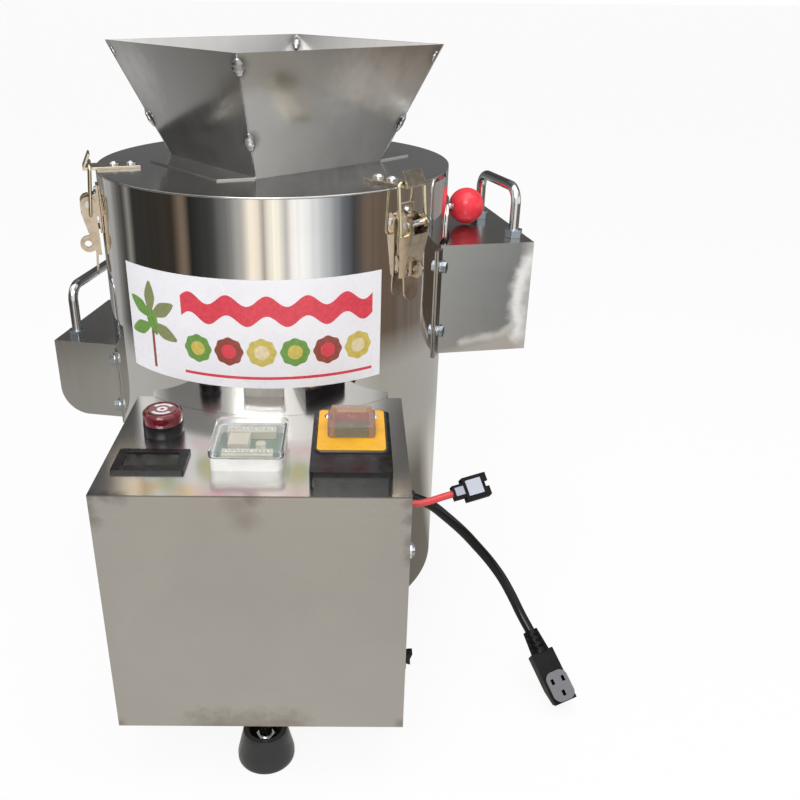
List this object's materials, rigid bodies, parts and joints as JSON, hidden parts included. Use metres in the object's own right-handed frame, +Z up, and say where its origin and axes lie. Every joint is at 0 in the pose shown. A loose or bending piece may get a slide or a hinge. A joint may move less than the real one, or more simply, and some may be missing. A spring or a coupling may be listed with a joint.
{
  "type": "chestnut peeling machine",
  "caption": "Small electric chestnut peeling machine: polished drum with latched lid and square hopper, gated kernel hood, shell hood and a front control box on levelling feet.",
  "frame": {"origin": "on the floor under the middle of the machine without its cords", "axes": "+Z up, -Y toward the control box, +X toward the gated kernel hood"},
  "size_m": [0.4399, 0.4068, 0.495],
  "materials": {
    "box_steel": "brushed sheet steel, warm grey",
    "drum_steel": "mirror polished sheet steel",
    "hood_steel": "satin sheet steel",
    "plain_steel": "mill finish steel",
    "bright_zinc": "bright zinc plate",
    "yellow_zinc": "yellow passivated zinc",
    "cast": "painted casting",
    "motor_paint": "black paint",
    "black_rubber": "matt moulded rubber",
    "black_plastic": "fine textured moulding",
    "red_ball": "glossy phenolic",
    "red_insulation": "soft insulation",
    "red_lens": "translucent red lens",
    "meter_glass": "dark tinted window",
    "white_plastic": "white moulding",
    "board": "green board with beige terminals",
    "clear_plastic": "clear moulding",
    "smoke_plastic": "smoky clear moulding",
    "yellow_plastic": "amber yellow moulding",
    "red_button": "red moulding",
    "green_button": "green moulding"
  },
  "bodies": {
    "machine": {"control_box": "box_steel", "box_bottom": "box_steel", "box_brackets": "plain_steel", "box_screws": "bright_zinc", "drum": "drum_steel", "drum_bottom": "plain_steel", "chamber_floor": "plain_steel", "wall_liner": "black_rubber", "lid": "drum_steel", "hopper": "hood_steel", "latch_bases": "yellow_zinc", "latch_pins": "bright_zinc", "keepers": "yellow_zinc", "keeper_rivets": "bright_zinc", "right_hood": "hood_steel", "left_hood": "hood_steel", "hood_bolts": "bright_zinc", "right_handle": "bright_zinc", "left_handle": "bright_zinc", "handle_nuts": "bright_zinc", "gate_guides": "hood_steel", "bearing_housing": "cast", "bearing": "plain_steel", "motor": "motor_paint", "battery": "black_plastic", "meter_bezel": "black_plastic", "meter_window": "meter_glass", "buzzer_base": "black_plastic", "buzzer_lens": "red_lens", "module_base": "white_plastic", "module_board": "board", "module_cover": "clear_plastic", "switch_housing": "black_plastic", "switch_plate": "yellow_plastic", "switch_screws": "bright_zinc", "rocker_bezel": "black_plastic", "cord_grommets": "black_rubber", "charge_lead": "red_insulation", "charge_connector": "black_plastic", "power_cable": "black_rubber", "cable_plug": "black_rubber", "levelling_feet": "black_rubber", "foot_studs": "bright_zinc"},
    "rotor": {"rotor_plate": "plain_steel", "rotor_bars": "black_rubber", "rotor_hub": "plain_steel", "drive_shaft": "plain_steel"},
    "gate": {"gate_plate": "hood_steel", "gate_stud": "bright_zinc", "gate_knob": "red_ball"},
    "lever_a": {"latch_lever_a": "yellow_zinc"},
    "lever_b": {"latch_lever_b": "yellow_zinc"},
    "lever_c": {"latch_lever_c": "yellow_zinc"},
    "bail_a": {"latch_bail_a": "yellow_zinc"},
    "bail_b": {"latch_bail_b": "yellow_zinc"},
    "bail_c": {"latch_bail_c": "yellow_zinc"},
    "cover": {"switch_cover": "smoke_plastic"},
    "on_button": {"switch_on_button": "green_button"},
    "off_button": {"switch_off_button": "red_button"},
    "rocker_key": {"rocker": "black_plastic"}
  },
  "joints": [
    {"name": "rotor_spin", "type": "hinge", "parent": "machine", "child": "rotor", "pos_m": [-0.00904, 0.04961, 0.254], "axis": [0, 0, 1], "continuous": true},
    {"name": "gate_slide", "type": "slide", "parent": "machine", "child": "gate", "axis": [0, 0, 1], "range_m": [0, 0.072]},
    {"name": "latch_a", "type": "hinge", "parent": "machine", "child": "lever_a", "pos_m": [0.09868, -0.05261, 0.381], "axis": [-0.6884, -0.7254, 0], "range_deg": [0, 95]},
    {"name": "bail_a", "type": "hinge", "parent": "lever_a", "child": "bail_a", "pos_m": [0.09796, -0.05192, 0.373], "axis": [-0.6884, -0.7254, 0], "range_deg": [-76, 0]},
    {"name": "latch_b", "type": "hinge", "parent": "machine", "child": "lever_b", "pos_m": [-0.15142, 0.00744, 0.381], "axis": [-0.284, 0.9588, 0], "range_deg": [0, 95]},
    {"name": "bail_b", "type": "hinge", "parent": "lever_b", "child": "bail_b", "pos_m": [-0.15046, 0.00772, 0.373], "axis": [-0.284, 0.9588, 0], "range_deg": [-76, 0]},
    {"name": "latch_c", "type": "hinge", "parent": "machine", "child": "lever_c", "pos_m": [0.02563, 0.19401, 0.381], "axis": [0.9724, -0.2334, 0], "range_deg": [0, 95]},
    {"name": "bail_c", "type": "hinge", "parent": "lever_c", "child": "bail_c", "pos_m": [0.0254, 0.19304, 0.373], "axis": [0.9724, -0.2334, 0], "range_deg": [-76, 0]},
    {"name": "cover_flip", "type": "hinge", "parent": "machine", "child": "cover", "pos_m": [0.05446, -0.11639, 0.2631], "axis": [-1, 0, 0], "range_deg": [0, 95]},
    {"name": "on_press", "type": "slide", "parent": "machine", "child": "on_button", "axis": [0, 0, -1], "range_m": [0, 0.0025], "stiffness_N_per_m": 300, "springref_m": -0.002},
    {"name": "off_press", "type": "slide", "parent": "machine", "child": "off_button", "axis": [0, 0, -1], "range_m": [0, 0.0025], "stiffness_N_per_m": 300, "springref_m": -0.002},
    {"name": "rocker_tip", "type": "hinge", "parent": "machine", "child": "rocker_key", "pos_m": [0.09246, -0.18238, 0.1], "axis": [0, 1, 0], "range_deg": [-16, 0]}
  ],
  "couplings": [
    {"joint": "bail_a", "follows": "latch_a", "ratio": -0.8},
    {"joint": "bail_b", "follows": "latch_b", "ratio": -0.8},
    {"joint": "bail_c", "follows": "latch_c", "ratio": -0.8}
  ]
}
